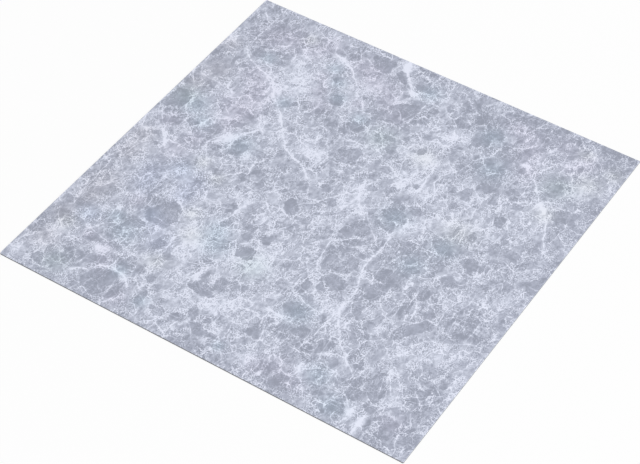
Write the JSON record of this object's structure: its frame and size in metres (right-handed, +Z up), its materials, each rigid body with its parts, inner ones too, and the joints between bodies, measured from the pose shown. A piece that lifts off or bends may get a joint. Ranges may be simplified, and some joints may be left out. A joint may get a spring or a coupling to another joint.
{
  "type": "vinyl floor tile",
  "caption": "Thin square vinyl floor tile with a grey marbled printed face, a softly rolled rim and upright sides that butt against the next tile.",
  "frame": {"origin": "middle of the back, the face that lies on the subfloor", "axes": "+Z up out of the printed face, +X and +Y along the sides"},
  "size_m": [0.3048, 0.3048, 0.0012],
  "materials": {
    "printed_vinyl": "satin"
  },
  "bodies": {
    "root": {"tile": "printed_vinyl"}
  },
  "joints": []
}
